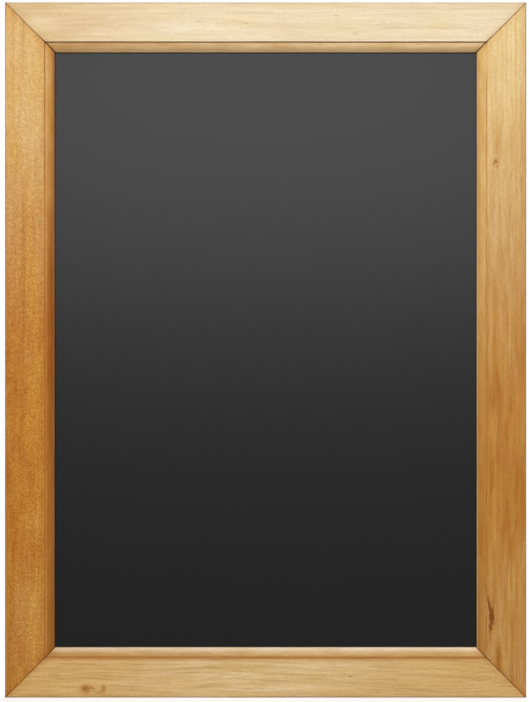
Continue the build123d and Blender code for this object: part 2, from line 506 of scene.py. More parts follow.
# Where stain, wear and dirt begin and end, in millimetres
inner_edge = rail_width / MM
back_face = rail_depth / MM
bead_foot = (riser + quirk_width / 2) / MM
lip_flat = (rail_width - lip_width) / MM
quirk_line = (1.0, 0.4)
# the band beside the quirk, partly stain and partly painted shade
quirk_stain_and_shade_outward = (5.0, 0.5)
quirk_stain_and_shade_inward = (-3.0, -0.5)
arris_wear_across = (2.8, 0.6)
arris_wear_back = (5.0, 2.5)
end_grain_reach = 14.0
mitre_line = 1.2
mitre_core = 0.3
mitre_to_bead = (36.0, 46.0)


def pine(name, edge, turn, half_length, wood):
    """Stained pine for one moulding: broken streaks, growth lines, knots and stain in the joints."""
    material, shader, spot = new_material(name)
    lie = {"Location": edge, "Rotation": (0, turn, 0), "Scale": (MM, MM, MM)}
    local = node("ShaderNodeMapping", {"Vector": spot, **lie}, vector_type="TEXTURE").outputs[0]
    across, depth, along = node("ShaderNodeSeparateXYZ", {0: local}).outputs
    moved = place_maths("ADD", local, wood["log_place"])
    grain = wandering_grain(moved, wood["sway"])

    ragged = cloud(moved, (1.8, 1.8, 4.5), 3.0, 0.6)[0]
    heart, halo, push = knot_marks(across, along, ragged, wood["knots"])
    late = late_wood(grain, push, wood)
    shown = step(cloud(moved, (16, 16, 130), 2.0)[0], 0.4, 0.62)
    late = times(late, shown)

    # Figure of the wood: patches, bands, broken streaks, fibres, speckle and short dark dashes
    patches = cloud(moved, (20, 20, 75), 3.0)[1]
    deeper, golden = node("ShaderNodeSeparateColor", {0: patches}).outputs[:2]
    band = cloud(grain, (5.5, 5.5, wood["band_length"]), 2.0)[0]
    streak = cloud(grain, (2.2, 2.2, wood["streak_length"]), 3.0, 0.6, 0.4)[0]
    fibre = cloud(grain, (1.2, 1.2, 15), 4.0, 0.65)[0]
    speckle = cloud(moved, wood["speckle_size"], 4.0, 0.65)[0]
    dash = step(cloud(grain, (0.9, 0.9, 11), 2.0)[0], 0.62, 0.74)

    # Tone drifts along each length; on the stiles and their beads it pales towards the top, partly the
    # wood's tone and partly painted light from above
    reach = maths("ABSOLUTE", along) if wood["ends_alike"] else along
    tone_and_light_drift = step(reach, *wood["tone_and_light_drift"])
    tone_and_light_drift = minus(tone_and_light_drift, times(step(reach, *wood["foot"]), wood["foot_lift"]))
    tone = plus(tone_and_light_drift, times(minus(deeper, 0.5), wood["blotch"]))
    colour = mix(tone, wood["pale"], wood["deep"])
    glowing = times(step(golden, 0.42, 0.66), between(tone_and_light_drift, wood["glow"]))
    colour = mix(glowing, colour, wood["gold"])
    streaked = times(step(streak, 0.46, 0.72), between(tone_and_light_drift, wood["streak"]))
    colour = mix(streaked, colour, wood["late"])
    colour = mix(times(late, wood["rings"]), colour, wood["late"])
    by_edge = step(across, wood["outer_reach"], 1.0)
    by_edge = times(by_edge, between(tone_and_light_drift, wood["outer"]))
    colour = mix(by_edge, colour, wood["late"])
    if wood["curls"]:
        curl = curl_marks(across, along, wood["curls"])
        ripple = cloud(moved, (8, 8, 1.5), 2.0, 0.6)[0]
        colour = mix(times(curl, 0.3), colour, curl_shine)
        colour = vary(colour, ripple, times(curl, 0.8))
    colour = vary(colour, band, between(tone_and_light_drift, wood["band"]))
    colour = vary(colour, fibre, wood["fibre"])
    colour = vary(colour, speckle, between(tone_and_light_drift, wood["speckle"]))
    colour = mix(times(dash, wood["dash"]), colour, wood["late"])

    # The bead took the stain differently. The lip carries painted highlight and shade, light on the
    # bottom and right rails
    # # and dark on the top and left ones, and a painted shadow runs along it by the panel
    on_bead = step(across, bead_foot, bead_foot + wood["bead_fade"])
    uneven = cloud(moved, (7, 7, 30), 3.0, 0.6)[0]
    bead_tone_and_light_drift = step(along, *wood["bead_tone_and_light_drift"])
    bead_colour = mix(bead_tone_and_light_drift, wood["bead_pale"], wood["bead_deep"])
    bead_colour = vary(vary(bead_colour, uneven, 1.0), fibre, wood["fibre"])
    colour = mix(times(on_bead, wood["bead_share"]), colour, bead_colour)
    # The lip's colour is painted highlight on the bottom and right rails and painted shade on the top
    # and left ones
    on_lip = step(across, lip_flat - wood["lip_fade"], lip_flat + 0.3)
    lip_light_and_shade_share = times(on_lip, between(bead_tone_and_light_drift, lip_light_and_shade_ends))
    colour = mix(lip_light_and_shade_share, colour, vary(wood["lip"], uneven, 0.4))
    # A painted shadow line along the sight edge, strong on the top rail and stiles and faint on the
    # bottom rail
    painted_shadow_by_panel = step(across, inner_edge - 1.2, inner_edge - 0.2)
    colour = stain(times(painted_shadow_by_panel, wood["sight_edge_painted_shadow_share"]), colour, sight_edge_painted_shadow)
    colour = stain(halo, colour, knot_halo)
    split = between(step(fibre, 0.62, 0.42), (0.75, 1.0))
    colour = stain(times(heart, split), colour, knot_heart)

    # In and beside the quirk the darkening is partly stain and partly painted shade; stain gathers in
    # the cut ends
    # # of the mitre, and the outer arris is rubbed dull
    before_quirk = minus(bead_foot, across)
    off_quirk = maths("ABSOLUTE", before_quirk)
    uneven_band_strength = between(uneven, (0.4, 1.6))
    outward = step(before_quirk, *quirk_stain_and_shade_outward)
    inward = step(before_quirk, *quirk_stain_and_shade_inward)
    by_quirk_stain_and_shade = times(times(outward, inward), wood["quirk_stain_and_shade_spread"])
    colour = stain(times(uneven_band_strength, by_quirk_stain_and_shade), colour, quirk_stain_and_shade)
    # The colour in the quirk is partly stain and partly painted shade, darkest on the top rail whose
    # groove faces down
    quirk_stain_and_shade_share = between(step(uneven, 0.62, 0.42), wood["quirk_stain_and_shade_share"])
    in_quirk_stain_and_shade = times(step(off_quirk, *quirk_line), quirk_stain_and_shade_share)
    quirk_stain_and_shade_colour = mix(bead_tone_and_light_drift, wood["quirk_stain_and_shade_pale"], wood["quirk_stain_and_shade_deep"])
    colour = mix(in_quirk_stain_and_shade, colour, vary(quirk_stain_and_shade_colour, uneven, 0.8))
    on_arris = times(step(across, *arris_wear_across), step(depth, *arris_wear_back))
    colour = mix(times(on_arris, wood["arris"]), colour, arris_wear)
    from_end = minus(half_length / MM, maths("ABSOLUTE", along))
    from_mitre = minus(from_end, across)
    in_end_grain = times(step(from_mitre, end_grain_reach, 0.0), uneven)
    colour = stain(in_end_grain, colour, end_stain)
    near_bead = step(across, *mitre_to_bead)
    mitre_tone = mix(near_bead, mitre_stain, bead_mitre_stain)
    mitre_reach = between(near_bead, (mitre_line, wood["bead_mitre"]))
    colour = stain(step(from_mitre, mitre_reach, mitre_core), colour, mitre_tone)

    # The back and the rebate were never stained
    bare_back = step(depth, back_face - 1.3, back_face - 0.4)
    past_ledge = step(depth, ledge / MM - 0.4, ledge / MM)
    past_rebate = step(across, rebate / MM - 0.5, rebate / MM)
    bare = maths("MAXIMUM", bare_back, times(past_ledge, past_rebate))
    saw_marks = cloud(moved, (40, 40, 1.6), 2.0)[0]
    plain = mix(times(late, 0.8), raw_pine, raw_late)
    plain = vary(vary(plain, streak, 0.5), fibre, 0.4)
    plain = vary(plain, saw_marks, 0.25)
    colour = mix(bare, colour, stain(heart, plain, knot_heart))

    polish = plus(wax_roughness, times(minus(fibre, 0.5), wax_unevenness))
    polish = plus(polish, times(bare, bare_roughness))
    height = plus(fibre, times(minus(late, dash), 0.4))
    bumps = relief(height, 0.3, 0.08 * MM)
    feed(shader, {"Base Color": colour, "Roughness": polish, "Normal": bumps})
    feed(shader, {"Specular IOR Level": wax_shine})
    return material


# Each length's own wood: places and sizes are in millimetres, and shares come in pairs where they
# # change from the pale end to the deep end or, in the quirk, from spot to spot. The lip, quirk and
# # sight-edge colours are partly painted light and shade, and the stiles' pale top ends are partly
# # painted light from above
plain_wood = dict(
    ends_alike=False,
    foot=(0, 1),
    foot_lift=0.0,
    outer_reach=11,
    curls=[],
    quirk_stain_and_shade_spread=0.0,
)
top_wood = dict(
    plain_wood,
    pale=shade(225, 206, 174),
    deep=shade(208, 178, 133),
    gold=shade(226, 205, 161),
    late=shade(200, 166, 114),
    tone_and_light_drift=(-40, -300),
    log_place=(0, 0, 0),
    sway=16,
    pith=(18, 120),
    ring_pitch=2.6,
    rings=0.15,
    blotch=1.0,
    glow=(0.5, 0.5),
    band=(0.3, 0.35),
    band_length=190,
    streak=(0.3, 0.4),
    streak_length=46,
    fibre=0.3,
    speckle=(0.3, 0.3),
    speckle_size=(2.2, 2.2, 3.4),
    dash=0.15,
    outer=(0.2, 0.2),
    bead_tone_and_light_drift=(200, -280),
    bead_pale=shade(212, 178, 129),
    bead_deep=shade(184, 142, 90),
    bead_fade=0.6,
    bead_share=0.95,
    lip=shade(176, 148, 106),
    lip_fade=7.0,
    sight_edge_painted_shadow_share=0.8,
    quirk_stain_and_shade_pale=shade(112, 74, 30),
    quirk_stain_and_shade_deep=shade(110, 70, 28),
    quirk_stain_and_shade_share=(0.9, 0.9),
    bead_mitre=3.0,
    arris=0.2,
    knots=[
        knot(-77, 22.3, 3.5, 0.7, 0.4, 0.1, 0.5),
        knot(-23, 24.6, 4.0, 0.7, 0.4, 0.1, 0.5),
        knot(81.6, 15.4, 3.0, 0.7, 0.35, 0.1, 0.5),
        knot(103.5, 36.1, 2.5, 0.7, 0.35, 0.1, 0.5),
    ],
)
bottom_wood = dict(
    plain_wood,
    pale=shade(226, 196, 146),
    deep=shade(214, 172, 110),
    gold=shade(218, 180, 116),
    late=shade(179, 132, 68),
    ends_alike=True,
    tone_and_light_drift=(40, 300),
    log_place=(310, 90, 1700),
    sway=26,
    pith=(70, 60),
    ring_pitch=3.1,
    rings=0.4,
    blotch=0.9,
    glow=(0.5, 0.5),
    band=(0.5, 0.5),
    band_length=150,
    streak=(0.42, 0.5),
    streak_length=75,
    fibre=0.5,
    speckle=(0.4, 0.4),
    speckle_size=(2.2, 2.2, 3.0),
    dash=0.14,
    outer=(0.15, 0.15),
    bead_tone_and_light_drift=(-40, 260),
    bead_pale=shade(197, 151, 88),
    bead_deep=shade(180, 130, 68),
    bead_fade=1.0,
    bead_share=0.7,
    lip=shade(240, 221, 188),
    lip_fade=5.2,
    sight_edge_painted_shadow_share=0.1,
    quirk_stain_and_shade_pale=shade(172, 124, 66),
    quirk_stain_and_shade_deep=shade(180, 132, 72),
    quirk_stain_and_shade_share=(0.75, 1.0),
    bead_mitre=0.9,
    quirk_stain_and_shade_spread=0.6,
    arris=0.35,
    knots=[
        knot(206.5, 10.2, 4.4, 3.8, 0.62, 0.7, 3.0),
        knot(200.0, 11.6, 3.4, 1.5, 0.5, 0.4, 0.0, 0.25),
        knot(197.5, 9.6, 1.4, 2.2, 0.45, 0.4, 1.0),
        knot(186.3, 11.0, 2.0, 3.4, 0.5, 0.7, 2.0),
        knot(190.2, 7.2, 3.8, 1.6, 0.3, 0.5, 0.0, -0.3),
        knot(-97.7, 24.8, 2.0, 0.7, 0.6, 0.1, 0.5),
        knot(150, 22, 30, 14, 0.0, 0.2, 0.0),
    ],
)
left_wood = dict(
    plain_wood,
    pale=shade(211, 173, 112),
    deep=shade(183, 120, 46),
    gold=shade(198, 143, 54),
    late=shade(162, 92, 23),
    tone_and_light_drift=(350, -20),
    foot=(-215, -300),
    foot_lift=0.16,
    log_place=(-420, 40, 5200),
    sway=9,
    pith=(-260, 30),
    ring_pitch=11.0,
    rings=0.35,
    blotch=0.42,
    glow=(0.35, 0.6),
    band=(0.2, 0.5),
    band_length=120,
    streak=(0.1, 0.5),
    streak_length=45,
    fibre=0.5,
    speckle=(1.15, 2.0),
    speckle_size=(2.3, 2.3, 1.5),
    dash=0.1,
    outer=(0.0, 0.3),
    outer_reach=28,
    bead_tone_and_light_drift=(340, 60),
    bead_pale=shade(192, 136, 66),
    bead_deep=shade(158, 97, 38),
    bead_fade=4.0,
    bead_share=0.85,
    lip=shade(154, 106, 56),
    lip_fade=3.0,
    sight_edge_painted_shadow_share=0.9,
    quirk_stain_and_shade_pale=shade(180, 126, 58),
    quirk_stain_and_shade_deep=shade(186, 121, 44),
    quirk_stain_and_shade_share=(0.75, 1.0),
    curls=[(-201, 36, 20, 9), (-322, 36, 34, 10), (-288, 33, 14, 6)],
    bead_mitre=1.2,
    quirk_stain_and_shade_spread=0.1,
    arris=0.35,
    knots=[
        knot(10, 52.2, 60, 1.9, 0.0, 0.95, 0.0),
        knot(-140, 24, 42, 16, 0.0, 0.32, 0.0),
    ],
)
right_wood = dict(
    plain_wood,
    pale=shade(225, 196, 140),
    deep=shade(180, 123, 52),
    gold=shade(192, 142, 64),
    late=shade(165, 104, 38),
    tone_and_light_drift=(-420, 105),
    foot=(190, 320),
    foot_lift=0.22,
    log_place=(900, -60, -2600),
    sway=12,
    pith=(-34, 48),
    ring_pitch=4.2,
    rings=0.25,
    blotch=0.45,
    glow=(0.2, 0.5),
    band=(0.2, 0.9),
    band_length=65,
    streak=(0.1, 0.6),
    streak_length=36,
    fibre=0.45,
    speckle=(0.45, 0.45),
    speckle_size=(2.2, 2.2, 3.0),
    dash=0.15,
    outer=(0.12, 0.2),
    bead_tone_and_light_drift=(-250, 250),
    bead_pale=shade(203, 158, 90),
    bead_deep=shade(172, 115, 47),
    bead_fade=2.0,
    bead_share=0.75,
    lip=shade(190, 162, 112),
    lip_fade=2.0,
    sight_edge_painted_shadow_share=0.9,
    quirk_stain_and_shade_pale=shade(196, 152, 84),
    quirk_stain_and_shade_deep=shade(170, 116, 48),
    quirk_stain_and_shade_share=(0.1, 1.0),
    bead_mitre=1.2,
    arris=0.45,
    knots=[
        knot(293, 43.0, 10.0, 1.7, 1.0, 0.2, 1.5, -0.12),
        knot(304, 40.4, 10.5, 3.6, 1.0, 0.2, 4.0, -0.15),
        knot(317, 41.0, 8.5, 2.3, 1.0, 0.2, 1.0, 0.12),
        knot(-216.6, 35.4, 2.2, 2.0, 0.8, 0.6, 1.5),
        knot(-213.8, 37.2, 1.3, 1.1, 0.5, 0.3, 0.5),
        knot(-210.8, 34.4, 1.4, 1.2, 0.6, 0.3, 0.5),
        knot(352, 32.5, 11, 2.2, 0.25, 0.6, 1.0),
        knot(120, 26, 45, 18, 0.0, 0.3, 0.0),
        knot(-205, 24, 36, 14, 0.0, 0.14, 0.0),
    ],
)

section_curve = drawn_curve("moulding_section", moulding_section(), closed=True)
mitred_moulding = moulding_tree()
screw_heights = [hinge_z - place for place in screw_places]

for name, half_span, half_length, outward, degrees, wood, point_count, pilots in (
    ("left_stile", half_width, half_height, (-1, 0, 0), 0, left_wood, 4, screw_heights),
    ("top_rail", half_height, half_width, (0, 0, 1), 90, top_wood, 3, []),
    ("right_stile", half_width, half_height, (1, 0, 0), 180, right_wood, 4, [-z for z in screw_heights]),
    ("bottom_rail", half_height, half_width, (0, 0, -1), 270, bottom_wood, 3, []),
):
    edge = Vector(outward) * half_span + Vector((0, front_y, 0))
    turn = math.radians(degrees)
    material = pine(f"{name}_pine", edge, turn, half_length, wood)
    shape = {"Section": section_curve, "Half Length": half_length, "Wood": material}
    moulding = grow(f"{name}_moulding", mitred_moulding, shape)
    ease_edges(moulding, eased_edge)
    cuts = joinery_cuts(half_length, point_count, pilots)
    cut_away(moulding, cuts)
    polish_up(moulding)
    moulding.data.transform(Matrix.Translation(edge) @ Matrix.Rotation(turn, 4, "Y"))
    bpy.data.objects.remove(cuts)
    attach(moulding, "frame")
    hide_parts(name)
bpy.data.objects.remove(section_curve)

# Corner wedges: V-shaped steel strips driven across each mitre from behind, two to a corner, just
# below the surface. They are bare spring steel, blued a little from hardening.

dull_patch = 6 * MM
polish_swing = 0.16


def worn_steel(name, bright, dull, roughness, scratch_size):
    """Steel with drawn scratches, dull patches and slightly uneven polish."""
    material, shader, spot = new_material(name)
    scratch = cloud(spot, scratch_size, 4.0, 0.7)[0]
    patch = cloud(spot, (dull_patch, dull_patch, dull_patch), 3.0)[0]
    colour = mix(step(patch, 0.35, 0.7), bright, dull)
    polish = plus(roughness - polish_swing / 2, times(scratch, polish_swing))
    bumps = relief(scratch, 0.2, 0.02 * MM)
    feed(shader, {"Base Color": colour, "Roughness": polish, "Normal": bumps, "Metallic": 1.0})
    return material


merge_distance = 0.001 * MM
flat_within = math.radians(1)


def eased_sheet(name, node_name, material, ease):
    """A merged copy of a sheet-metal node, with its sheared edges eased."""
    bench = bmesh.new()
    bench.from_mesh(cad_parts[node_name].data)
    bmesh.ops.remove_doubles(bench, verts=bench.verts, dist=merge_distance)
    bmesh.ops.dissolve_limit(bench, angle_limit=flat_within, verts=bench.verts, edges=bench.edges)
    mesh = bench_mesh(bench, name)
    mesh.materials.append(material)
    sheet = new_piece(name, mesh)
    ease_edges(sheet, ease)
    return polish_up(sheet)


wedge_ease = 0.06 * MM
wedge_steel = worn_steel(
    "wedge_steel",
    bright=shade(150, 152, 158),
    dull=shade(104, 106, 114),
    roughness=0.4,
    scratch_size=(3 * MM, 0.4 * MM, 3 * MM),
)
for corner in ("top_left", "top_right", "bottom_left", "bottom_right"):
    wedges = eased_sheet(f"{corner}_wedge_pair", f"{corner}_wedges", wedge_steel, wedge_ease)
    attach(wedges, "frame")
    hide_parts(f"{corner}_wedges")

# Writing panel: a sheet of hardboard sawn to size, its front rolled with matt black board paint that
# laps over the edges, its back bare with the screen pattern of the press.

panel_low, panel_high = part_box("writing_panel")
panel_ease = 0.35 * MM
paint_lap = 0.9 * MM
paint_edge = panel_low.y + paint_lap
paint_black = shade(7, 7, 8)
paint_dusty = shade(11, 11, 11)
paint_roughness = 0.315
paint_shine = 0.17


def board_paint():
    """Matt black paint with the stipple of a roller and the faintest dust."""
    material, shader, spot = new_material("board_paint")
    stipple = cloud(spot, (0.9 * MM, 0.9 * MM, 0.9 * MM), 3.0)[0]
    dust = cloud(spot, (90 * MM, 20 * MM, 60 * MM), 4.0, 0.6)[0]
    colour = mix(dust, paint_black, paint_dusty)
    polish = plus(paint_roughness, times(stipple, 0.06))
    bumps = relief(stipple, 0.15, 0.03 * MM)
    feed(shader, {"Base Color": colour, "Roughness": polish, "Normal": bumps})
    feed(shader, {"Specular IOR Level": paint_shine})
    return material


screen_pitch = 1.6 * MM
fibre_dark = shade(92, 60, 36)
fibre_light = shade(134, 94, 60)
fibre_patch = shade(120, 80, 48)
board_roughness = 0.78
board_shine = 0.25


def hardboard():
    """Brown pressed fibre with the fine square imprint of the press screen."""
    material, shader, spot = new_material("hardboard")
    across, _, up = node("ShaderNodeSeparateXYZ", {0: spot}).outputs
    wires = [maths("SINE", times(way, math.tau / screen_pitch)) for way in (across, up)]
    screen = times(*wires)
    fibre = cloud(spot, (2.2 * MM, 2.2 * MM, 2.2 * MM), 5.0, 0.65)[0]
    patch = cloud(spot, (60 * MM, 60 * MM, 60 * MM), 3.0)[0]
    colour = mix(fibre, fibre_dark, fibre_light)
    colour = mix(times(patch, 0.4), colour, fibre_patch)
    bumps = relief(plus(times(screen, 0.5), fibre), 0.5, 0.12 * MM)
    feed(shader, {"Base Color": colour, "Normal": bumps})
    feed(shader, {"Roughness": board_roughness, "Specular IOR Level": board_shine})
    return material


bench = bmesh.new()
panel_outline = [
    (panel_low.x, panel_low.z),
    (panel_high.x, panel_low.z),
    (panel_high.x, panel_high.z),
    (panel_low.x, panel_high.z),
]
layers = []
for y in (panel_low.y, paint_edge, panel_high.y):
    layers.append([bench.verts.new((x, y, z)) for x, z in panel_outline])
bench.faces.new(layers[0])
bench.faces.new(list(reversed(layers[2]))).material_index = 1
for depth, (near, far) in enumerate(zip(layers, layers[1:])):
    for i in range(4):
        j = (i + 1) % 4
        bench.faces.new((near[j], near[i], far[i], far[j])).material_index = depth
bmesh.ops.recalc_face_normals(bench, faces=bench.faces)
panel_mesh = bench_mesh(bench, "writing_panel_board")
panel_mesh.materials.append(board_paint())
panel_mesh.materials.append(hardboard())
panel = new_piece("writing_panel_board", panel_mesh)
ease_edges(panel, panel_ease, 3)
polish_up(panel)
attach(panel, "frame")
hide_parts("writing_panel")

# Panel points: flat steel points shot into the rebate so that their tails lie on the panel's back and
# hold it in. They are stamped from bright strip and bend up to let the panel out.

point_ease = 0.1 * MM
point_steel = worn_steel(
    "point_steel",
    bright=shade(198, 200, 204),
    dull=shade(160, 162, 168),
    roughness=0.34,
    scratch_size=(4 * MM, 1 * MM, 0.5 * MM),
)
for side in ("top", "bottom", "left", "right"):
    points = eased_sheet(f"{side}_point_row", f"{side}_panel_points", point_steel, point_ease)
    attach(points, "frame")
    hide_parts(f"{side}_panel_points")

# Hanger straps: zinc-plated strip folded round the ring's bar, both layers pierced for two screws and
# laid flat on the back of the stile.

strap_ease = 0.12 * MM
strap_zinc = worn_steel(
    "strap_zinc",
    bright=shade(214, 214, 208),
    dull=shade(186, 188, 188),
    roughness=0.3,
    scratch_size=(0.4 * MM, 0.4 * MM, 5 * MM),
)
for hand in ("left", "right"):
    strap = eased_sheet(f"{hand}_folded_strap", f"{hand}_hanger_strap", strap_zinc, strap_ease)
    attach(strap, "frame")
    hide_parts(f"{hand}_hanger_strap")

# Hanger rings: round steel wire bent to a D, its two ends butted inside the strap's loop, zinc-plated
# like the strap. They swing up from the stile to take a wall hook.

wire_radius = 1.3 * MM
wire_sides = 24
ring_half_width = 10.0 * MM
ring_corner = 3.0 * MM
ring_leg = 4.5 * MM
butt_gap = 0.2 * MM
hinge_height = 2.25 * MM
stile_gap = 0.3 * MM
ring_reach = ring_leg + ring_half_width
ring_lean = math.asin((hinge_height - wire_radius - stile_gap) / ring_reach)


def ring_path():
    """The D of a ring's wire: along its bar, round the bow and back to the butt joint."""
    bar_end = ring_half_width - ring_corner
    path = [(butt_gap / 2, 0)]
    path += arc((bar_end, ring_corner), ring_corner, -90, 0, 10)
    path += arc((0, ring_leg), ring_half_width, 0, 180, 40)
    path += arc((-bar_end, ring_corner), ring_corner, 180, 270, 10)
    path += [(-butt_gap / 2, 0)]
    return path


def wire_tree():
    """Sweeps a round wire along a path and closes its ends."""
    inputs = {"Path": "Object", "Radius": "Float", "Sides": "Int", "Steel": "Material"}
    tree, given = shape_tree("bent_wire", inputs)
    path = node("GeometryNodeObjectInfo", {"Object": given["Path"]}).outputs["Geometry"]
    size = {"Resolution": given["Sides"], "Radius": given["Radius"]}
    round_bar = node("GeometryNodeCurvePrimitiveCircle", size).outputs[0]
    end_tree(sweep(path, round_bar), given["Steel"])
    return tree


ring_zinc = worn_steel(
    "ring_zinc",
    bright=shade(216, 216, 212),
    dull=shade(190, 192, 194),
    roughness=0.26,
    scratch_size=(1.2 * MM, 1.2 * MM, 1.2 * MM),
)
bent_wire = wire_tree()
upright = Matrix.Rotation(math.radians(90) + ring_lean, 4, "X")
for hand, sign in (("left", -1), ("right", 1)):
    path_curve = drawn_curve("ring_path", ring_path(), closed=False)
    wire = {"Path": path_curve, "Radius": wire_radius, "Sides": wire_sides, "Steel": ring_zinc}
    ring = polish_up(grow(f"{hand}_ring_wire", bent_wire, wire))
    hinge = Vector((sign * (half_width - hanger_inset), back_y + hinge_height, hinge_z))
    ring.data.transform(Matrix.Translation(hinge) @ upright)
    bpy.data.objects.remove(path_curve)
    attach(ring, f"{hand}_ring")
    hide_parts(f"{hand}_hanger_ring")

# Hanger screws: four pan-head wood screws, two through each strap, turned with a cross recess and a
# rolled thread, zinc-plated.

head_radius = 3.2 * MM
head_height = 2.0 * MM
crown_radius = 4.6 * MM
crown_edge = 60
rim_radius = 0.5 * MM
rim_height = 0.55 * MM
recess_arm = 1.7 * MM
recess_half_width = 0.45 * MM
recess_depth = 1.1 * MM
recess_cutter = 2.0 * MM
shank_radius = 1.6 * MM
shank_length = 13.0 * MM
thread_root = 0.72 * shank_radius
thread_start = 1.5 * MM
thread_pitch = 1.05 * MM
thread_flank = 0.45 * MM
thread_turns = 9
tip_radius = 0.7 * shank_radius
tip_length = 2.6 * MM
strap_top = 1.7 * MM
lathe_steps = 40
most_spin = 1.5
spin_seed = 7


def lathe(bench, outline, steps):
    """Turns (radius, height) points about Z into a closed skin; its ends lie on the axis."""
    turns = [math.tau * i / steps for i in range(steps)]
    rings = []
    for radius, height in outline:
        ring = [(radius * math.cos(t), radius * math.sin(t), height) for t in turns]
        if radius == 0:
            ring = ring[:1]
        rings.append([bench.verts.new(point) for point in ring])
    for low, high in zip(rings, rings[1:]):
        for i in range(steps):
            j = (i + 1) % steps
            corners = [low[i % len(low)], low[j % len(low)], high[j % len(high)], high[i % len(high)]]
            bench.faces.new(list(dict.fromkeys(corners)))
    bmesh.ops.recalc_face_normals(bench, faces=bench.faces)


def screw_mesh():
    """One screw, head up along Z, seated at the origin."""
    crown = arc((0, head_height - crown_radius), crown_radius, 90, crown_edge, 8)
    outline = [(0, head_height)] + crown[1:]
    outline += arc((head_radius - rim_radius, rim_height), rim_radius, 45, 0, 4)
    outline += [(head_radius, 0), (shank_radius, 0)]
    for i in range(thread_turns):
        crest = -thread_start - i * thread_pitch
        outline += [(thread_root, crest + thread_flank), (shank_radius, crest)]
    outline += [(tip_radius, -shank_length + tip_length), (0, -shank_length)]
    bench = bmesh.new()
    lathe(bench, outline, lathe_steps)
    return bench_mesh(bench, "screw")


def cross_recess():
    """The driver's cross, sunk from the top of a screw's head."""
    arm = recess_arm
    half = recess_half_width
    cross = [(arm, -half), (arm, half), (half, half), (half, arm), (-half, arm), (-half, half)]
    cross += [(-x, -y) for x, y in cross]
    bench = bmesh.new()
    add_prism(bench, cross, (0, 0, head_height - recess_depth), (1, 0, 0), (0, 0, 1), recess_cutter)
    bmesh.ops.recalc_face_normals(bench, faces=bench.faces)
    return bench_mesh(bench, "cross_recess")


def screw_tree():
    """Sets a screw at each point, head towards the wall."""
    inputs = {"Screw": "Object", "Places": "Object", "Steel": "Material"}
    tree, given = shape_tree("strap_screws", inputs)
    screw = node("GeometryNodeObjectInfo", {"Object": given["Screw"], "As Instance": True})
    places = node("GeometryNodeObjectInfo", {"Object": given["Places"]})
    spots = node("GeometryNodeMeshToPoints", {"Mesh": places.outputs["Geometry"]})
    index = first_node(tree, "GeometryNodeInputIndex").outputs[0]
    draw = {"Min": 0.0, "Max": most_spin, "ID": index, "Seed": spin_seed}
    drawn = node("FunctionNodeRandomValue", draw).outputs
    spin = next(out for out in drawn if out.enabled)
    facing = node("ShaderNodeCombineXYZ", {"X": math.radians(-90), "Y": spin}).outputs[0]
    turned = node("FunctionNodeEulerToRotation", {0: facing}).outputs[0]
    driven = {"Points": spots.outputs[0], "Instance": screw.outputs["Geometry"], "Rotation": turned}
    placed = node("GeometryNodeInstanceOnPoints", driven).outputs[0]
    end_tree(placed, given["Steel"])
    return tree


screw_zinc = worn_steel(
    "screw_zinc",
    bright=shade(206, 206, 200),
    dull=shade(176, 178, 178),
    roughness=0.34,
    scratch_size=(0.6 * MM, 0.6 * MM, 0.6 * MM),
)
one_screw = new_piece("one_screw", screw_mesh())
recess = new_piece("cross_recess", cross_recess())
cut_away(one_screw, recess)
polish_up(one_screw)
screw_seats = []
for sign in (-1, 1):
    seat_x = sign * (half_width - hanger_inset)
    screw_seats += [(seat_x, back_y + strap_top, height) for height in screw_heights]
places_mesh = bpy.data.meshes.new("screw_places")
places_mesh.from_pydata(screw_seats, [], [])
places_piece = new_piece("screw_places", places_mesh)
seating = {"Screw": one_screw, "Places": places_piece, "Steel": screw_zinc}
screws = grow("strap_screws", screw_tree(), seating)
for helper in (one_screw, recess, places_piece):
    bpy.data.objects.remove(helper)
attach(screws, "frame")
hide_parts("hanger_screws")

# Wall bumpers: two moulded rubber studs stuck to the bottom rail, so that the board hangs plumb and
# doesn't mark the wall.

bumper_round = 1.3 * MM
bumper_inset = 1.9 * MM
bumper_draft = 8
bumper_steps = 48
rubber_black = shade(30, 30, 31)
rubber_bloom = shade(58, 57, 55)
rubber_roughness = 0.72


def rubber():
    """Dull black rubber with a moulded skin and a bloom of dust."""
    material, shader, spot = new_material("bumper_rubber")
    skin = cloud(spot, (0.5 * MM, 0.5 * MM, 0.5 * MM), 4.0)[0]
    bloom = cloud(spot, (5 * MM, 5 * MM, 5 * MM), 3.0)[0]
    colour = mix(bloom, rubber_black, rubber_bloom)
    bumps = relief(skin, 0.3, 0.05 * MM)
    feed(shader, {"Base Color": colour, "Normal": bumps, "Roughness": rubber_roughness})
    return material


bumper_rubber = rubber()
for hand in ("left", "right"):
    bumper_low, bumper_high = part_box(f"{hand}_wall_bumper")
    bumper_middle = (bumper_low + bumper_high) / 2
    bumper_radius = (bumper_high.x - bumper_low.x) / 2
    bumper_height = bumper_high.y - bumper_low.y
    shoulder = (bumper_radius - bumper_inset, bumper_height - bumper_round)
    outline = [(0, 0), (bumper_radius, 0)]
    outline += arc(shoulder, bumper_round, bumper_draft, 90, 8)
    outline += [(0, bumper_height)]
    bench = bmesh.new()
    lathe(bench, outline, bumper_steps)
    stud_mesh = bench_mesh(bench, f"{hand}_bumper_stud")
    stud_mesh.materials.append(bumper_rubber)
    bumper = polish_up(new_piece(f"{hand}_bumper_stud", stud_mesh))
    foot = Vector((bumper_middle.x, bumper_low.y, bumper_middle.z))
    bumper.data.transform(Matrix.Translation(foot) @ Matrix.Rotation(math.radians(-90), 4, "X"))
    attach(bumper, "frame")
    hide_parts(f"{hand}_wall_bumper")

# Studio: a white room with a pale floor that keeps the board's shadow close to it. A wide softbox in
# front gives the panel its sheen, lamps overhead and on the left fill in, one lights the back, and two
# small ones light the outer edges.

